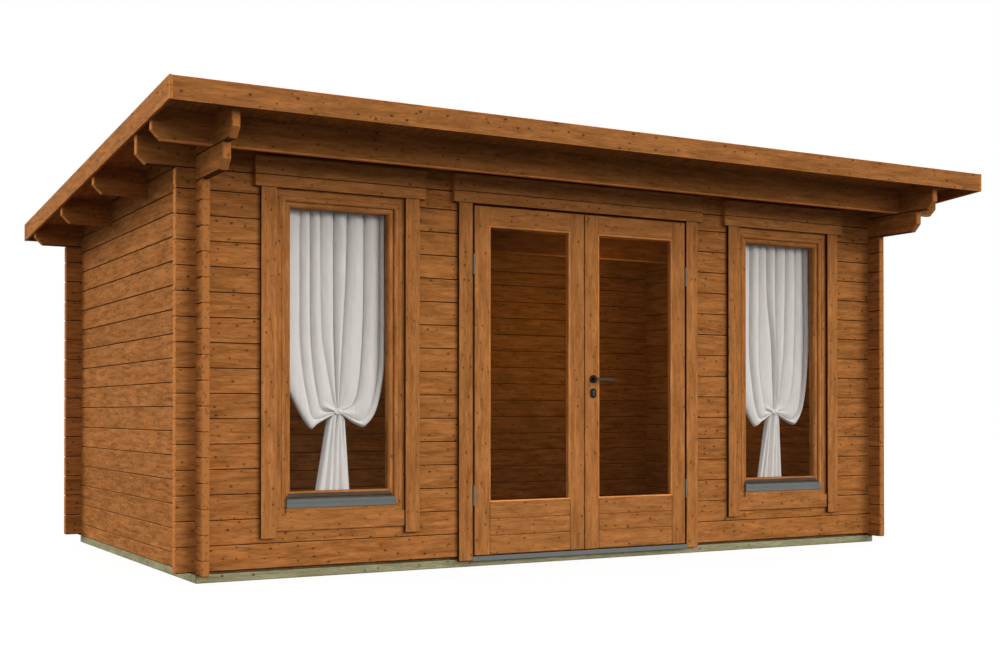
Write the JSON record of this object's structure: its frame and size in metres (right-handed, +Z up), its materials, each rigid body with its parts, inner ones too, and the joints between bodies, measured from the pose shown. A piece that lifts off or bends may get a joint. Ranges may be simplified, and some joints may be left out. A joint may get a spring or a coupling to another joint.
{
  "type": "garden log cabin",
  "caption": "Garden cabin of interlocking logs with a single-slope roof, a glazed double door and tall windows with tied curtains.",
  "frame": {"origin": "on the ground, under the middle of the roof", "axes": "+X to the right seen from the front, +Y from the front to the back, +Z up"},
  "size_m": [5.53, 3.62, 2.5098],
  "materials": {
    "wall_logs": "translucent brown stain on planed spruce",
    "roof_logs": "translucent brown stain on planed spruce",
    "fascia_boards": "translucent brown stain on planed spruce",
    "trim_boards": "translucent brown stain on planed spruce",
    "joinery": "translucent brown stain on laminated spruce",
    "deck_boards": "translucent brown stain on tongued boards",
    "floor_timber": "satin, tongued boards",
    "treated_timber": "green pressure-treated, sawn",
    "roof_felt": "bitumen felt with fine grit",
    "glass": "clear",
    "flashing_metal": "dull mill finish",
    "hinge_metal": "zinc plated",
    "black_metal": "satin black",
    "lock_metal": "satin nickel",
    "curtain_cloth": "plain woven cotton"
  },
  "bodies": {
    "cabin": {"long_bearers": "treated_timber", "cross_bearers": "treated_timber", "floor_boards": "floor_timber", "front_wall_left": "wall_logs", "front_wall_right": "wall_logs", "front_wall_over_door": "wall_logs", "back_wall": "wall_logs", "left_wall": "wall_logs", "right_wall": "wall_logs", "left_gable_logs": "wall_logs", "right_gable_logs": "wall_logs", "front_plate_log": "wall_logs", "back_plate_log": "wall_logs", "eaves_purlin": "roof_logs", "middle_purlins": "roof_logs", "roof_deck": "deck_boards", "roof_felt": "roof_felt", "front_fascia": "fascia_boards", "back_fascia": "fascia_boards", "side_fascias": "fascia_boards", "side_trims": "trim_boards", "head_boards": "trim_boards", "window_casings": "joinery", "window_sashes": "joinery", "window_sills": "joinery", "window_glass": "glass", "window_flashings": "flashing_metal", "curtain_rods": "black_metal", "left_curtain": "curtain_cloth", "right_curtain": "curtain_cloth", "door_frame": "joinery", "door_stops": "joinery", "door_threshold": "flashing_metal", "door_frame_hinges": "hinge_metal"},
    "left_door": {"left_door_frame": "joinery", "left_door_panel": "joinery", "left_door_glass": "glass", "left_door_hinges": "hinge_metal"},
    "right_door": {"right_door_frame": "joinery", "right_door_panel": "joinery", "right_door_glass": "glass", "right_door_hinges": "hinge_metal", "handle_plates": "black_metal", "lock_cylinder": "lock_metal"},
    "lever": {"door_lever": "black_metal"}
  },
  "joints": [
    {"name": "left_door_swing", "type": "hinge", "parent": "cabin", "child": "left_door", "pos_m": [-0.773, -1.168, 1.1], "axis": [0, 0, -1], "range_deg": [0, 110]},
    {"name": "right_door_swing", "type": "hinge", "parent": "cabin", "child": "right_door", "pos_m": [0.773, -1.168, 1.1], "axis": [0, 0, 1], "range_deg": [0, 110]},
    {"name": "lever_turn", "type": "hinge", "parent": "right_door", "child": "lever", "pos_m": [0.0615, -1.143, 1.111], "axis": [0, 1, 0], "range_deg": [0, 45], "stiffness_Nm_per_rad": 2}
  ]
}
